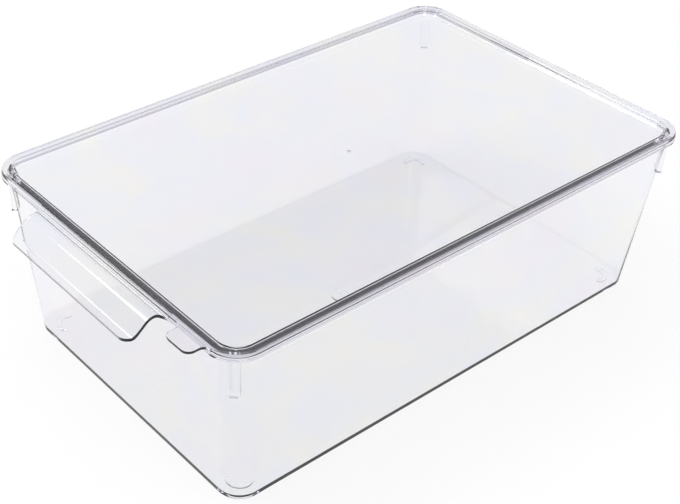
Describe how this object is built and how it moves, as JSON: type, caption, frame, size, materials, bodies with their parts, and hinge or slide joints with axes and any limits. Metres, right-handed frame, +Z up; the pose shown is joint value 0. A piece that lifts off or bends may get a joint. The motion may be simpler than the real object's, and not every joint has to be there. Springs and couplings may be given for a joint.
{
  "type": "storage box with lid",
  "caption": "Clear open-topped storage tub with a flanged rim, pull lip, corner lugs and feet, closed by a lift-off lid with a sunk panel and lift tab.",
  "frame": {"origin": "middle of the tub's floor, on the surface that its feet stand on", "axes": "+Z up, front with the pull lip facing -Y, length along Y, width along X"},
  "size_m": [0.24, 0.398, 0.1219],
  "materials": {
    "clear_tub": "clear polished plastic",
    "clear_lid": "clear polished plastic"
  },
  "bodies": {
    "tub": {"tub": "clear_tub"},
    "lid": {"lid": "clear_lid"}
  },
  "joints": [
    {"name": "lid_lift", "type": "slide", "parent": "tub", "child": "lid", "axis": [0, 0, 1], "range_m": [0, 0.2]}
  ]
}
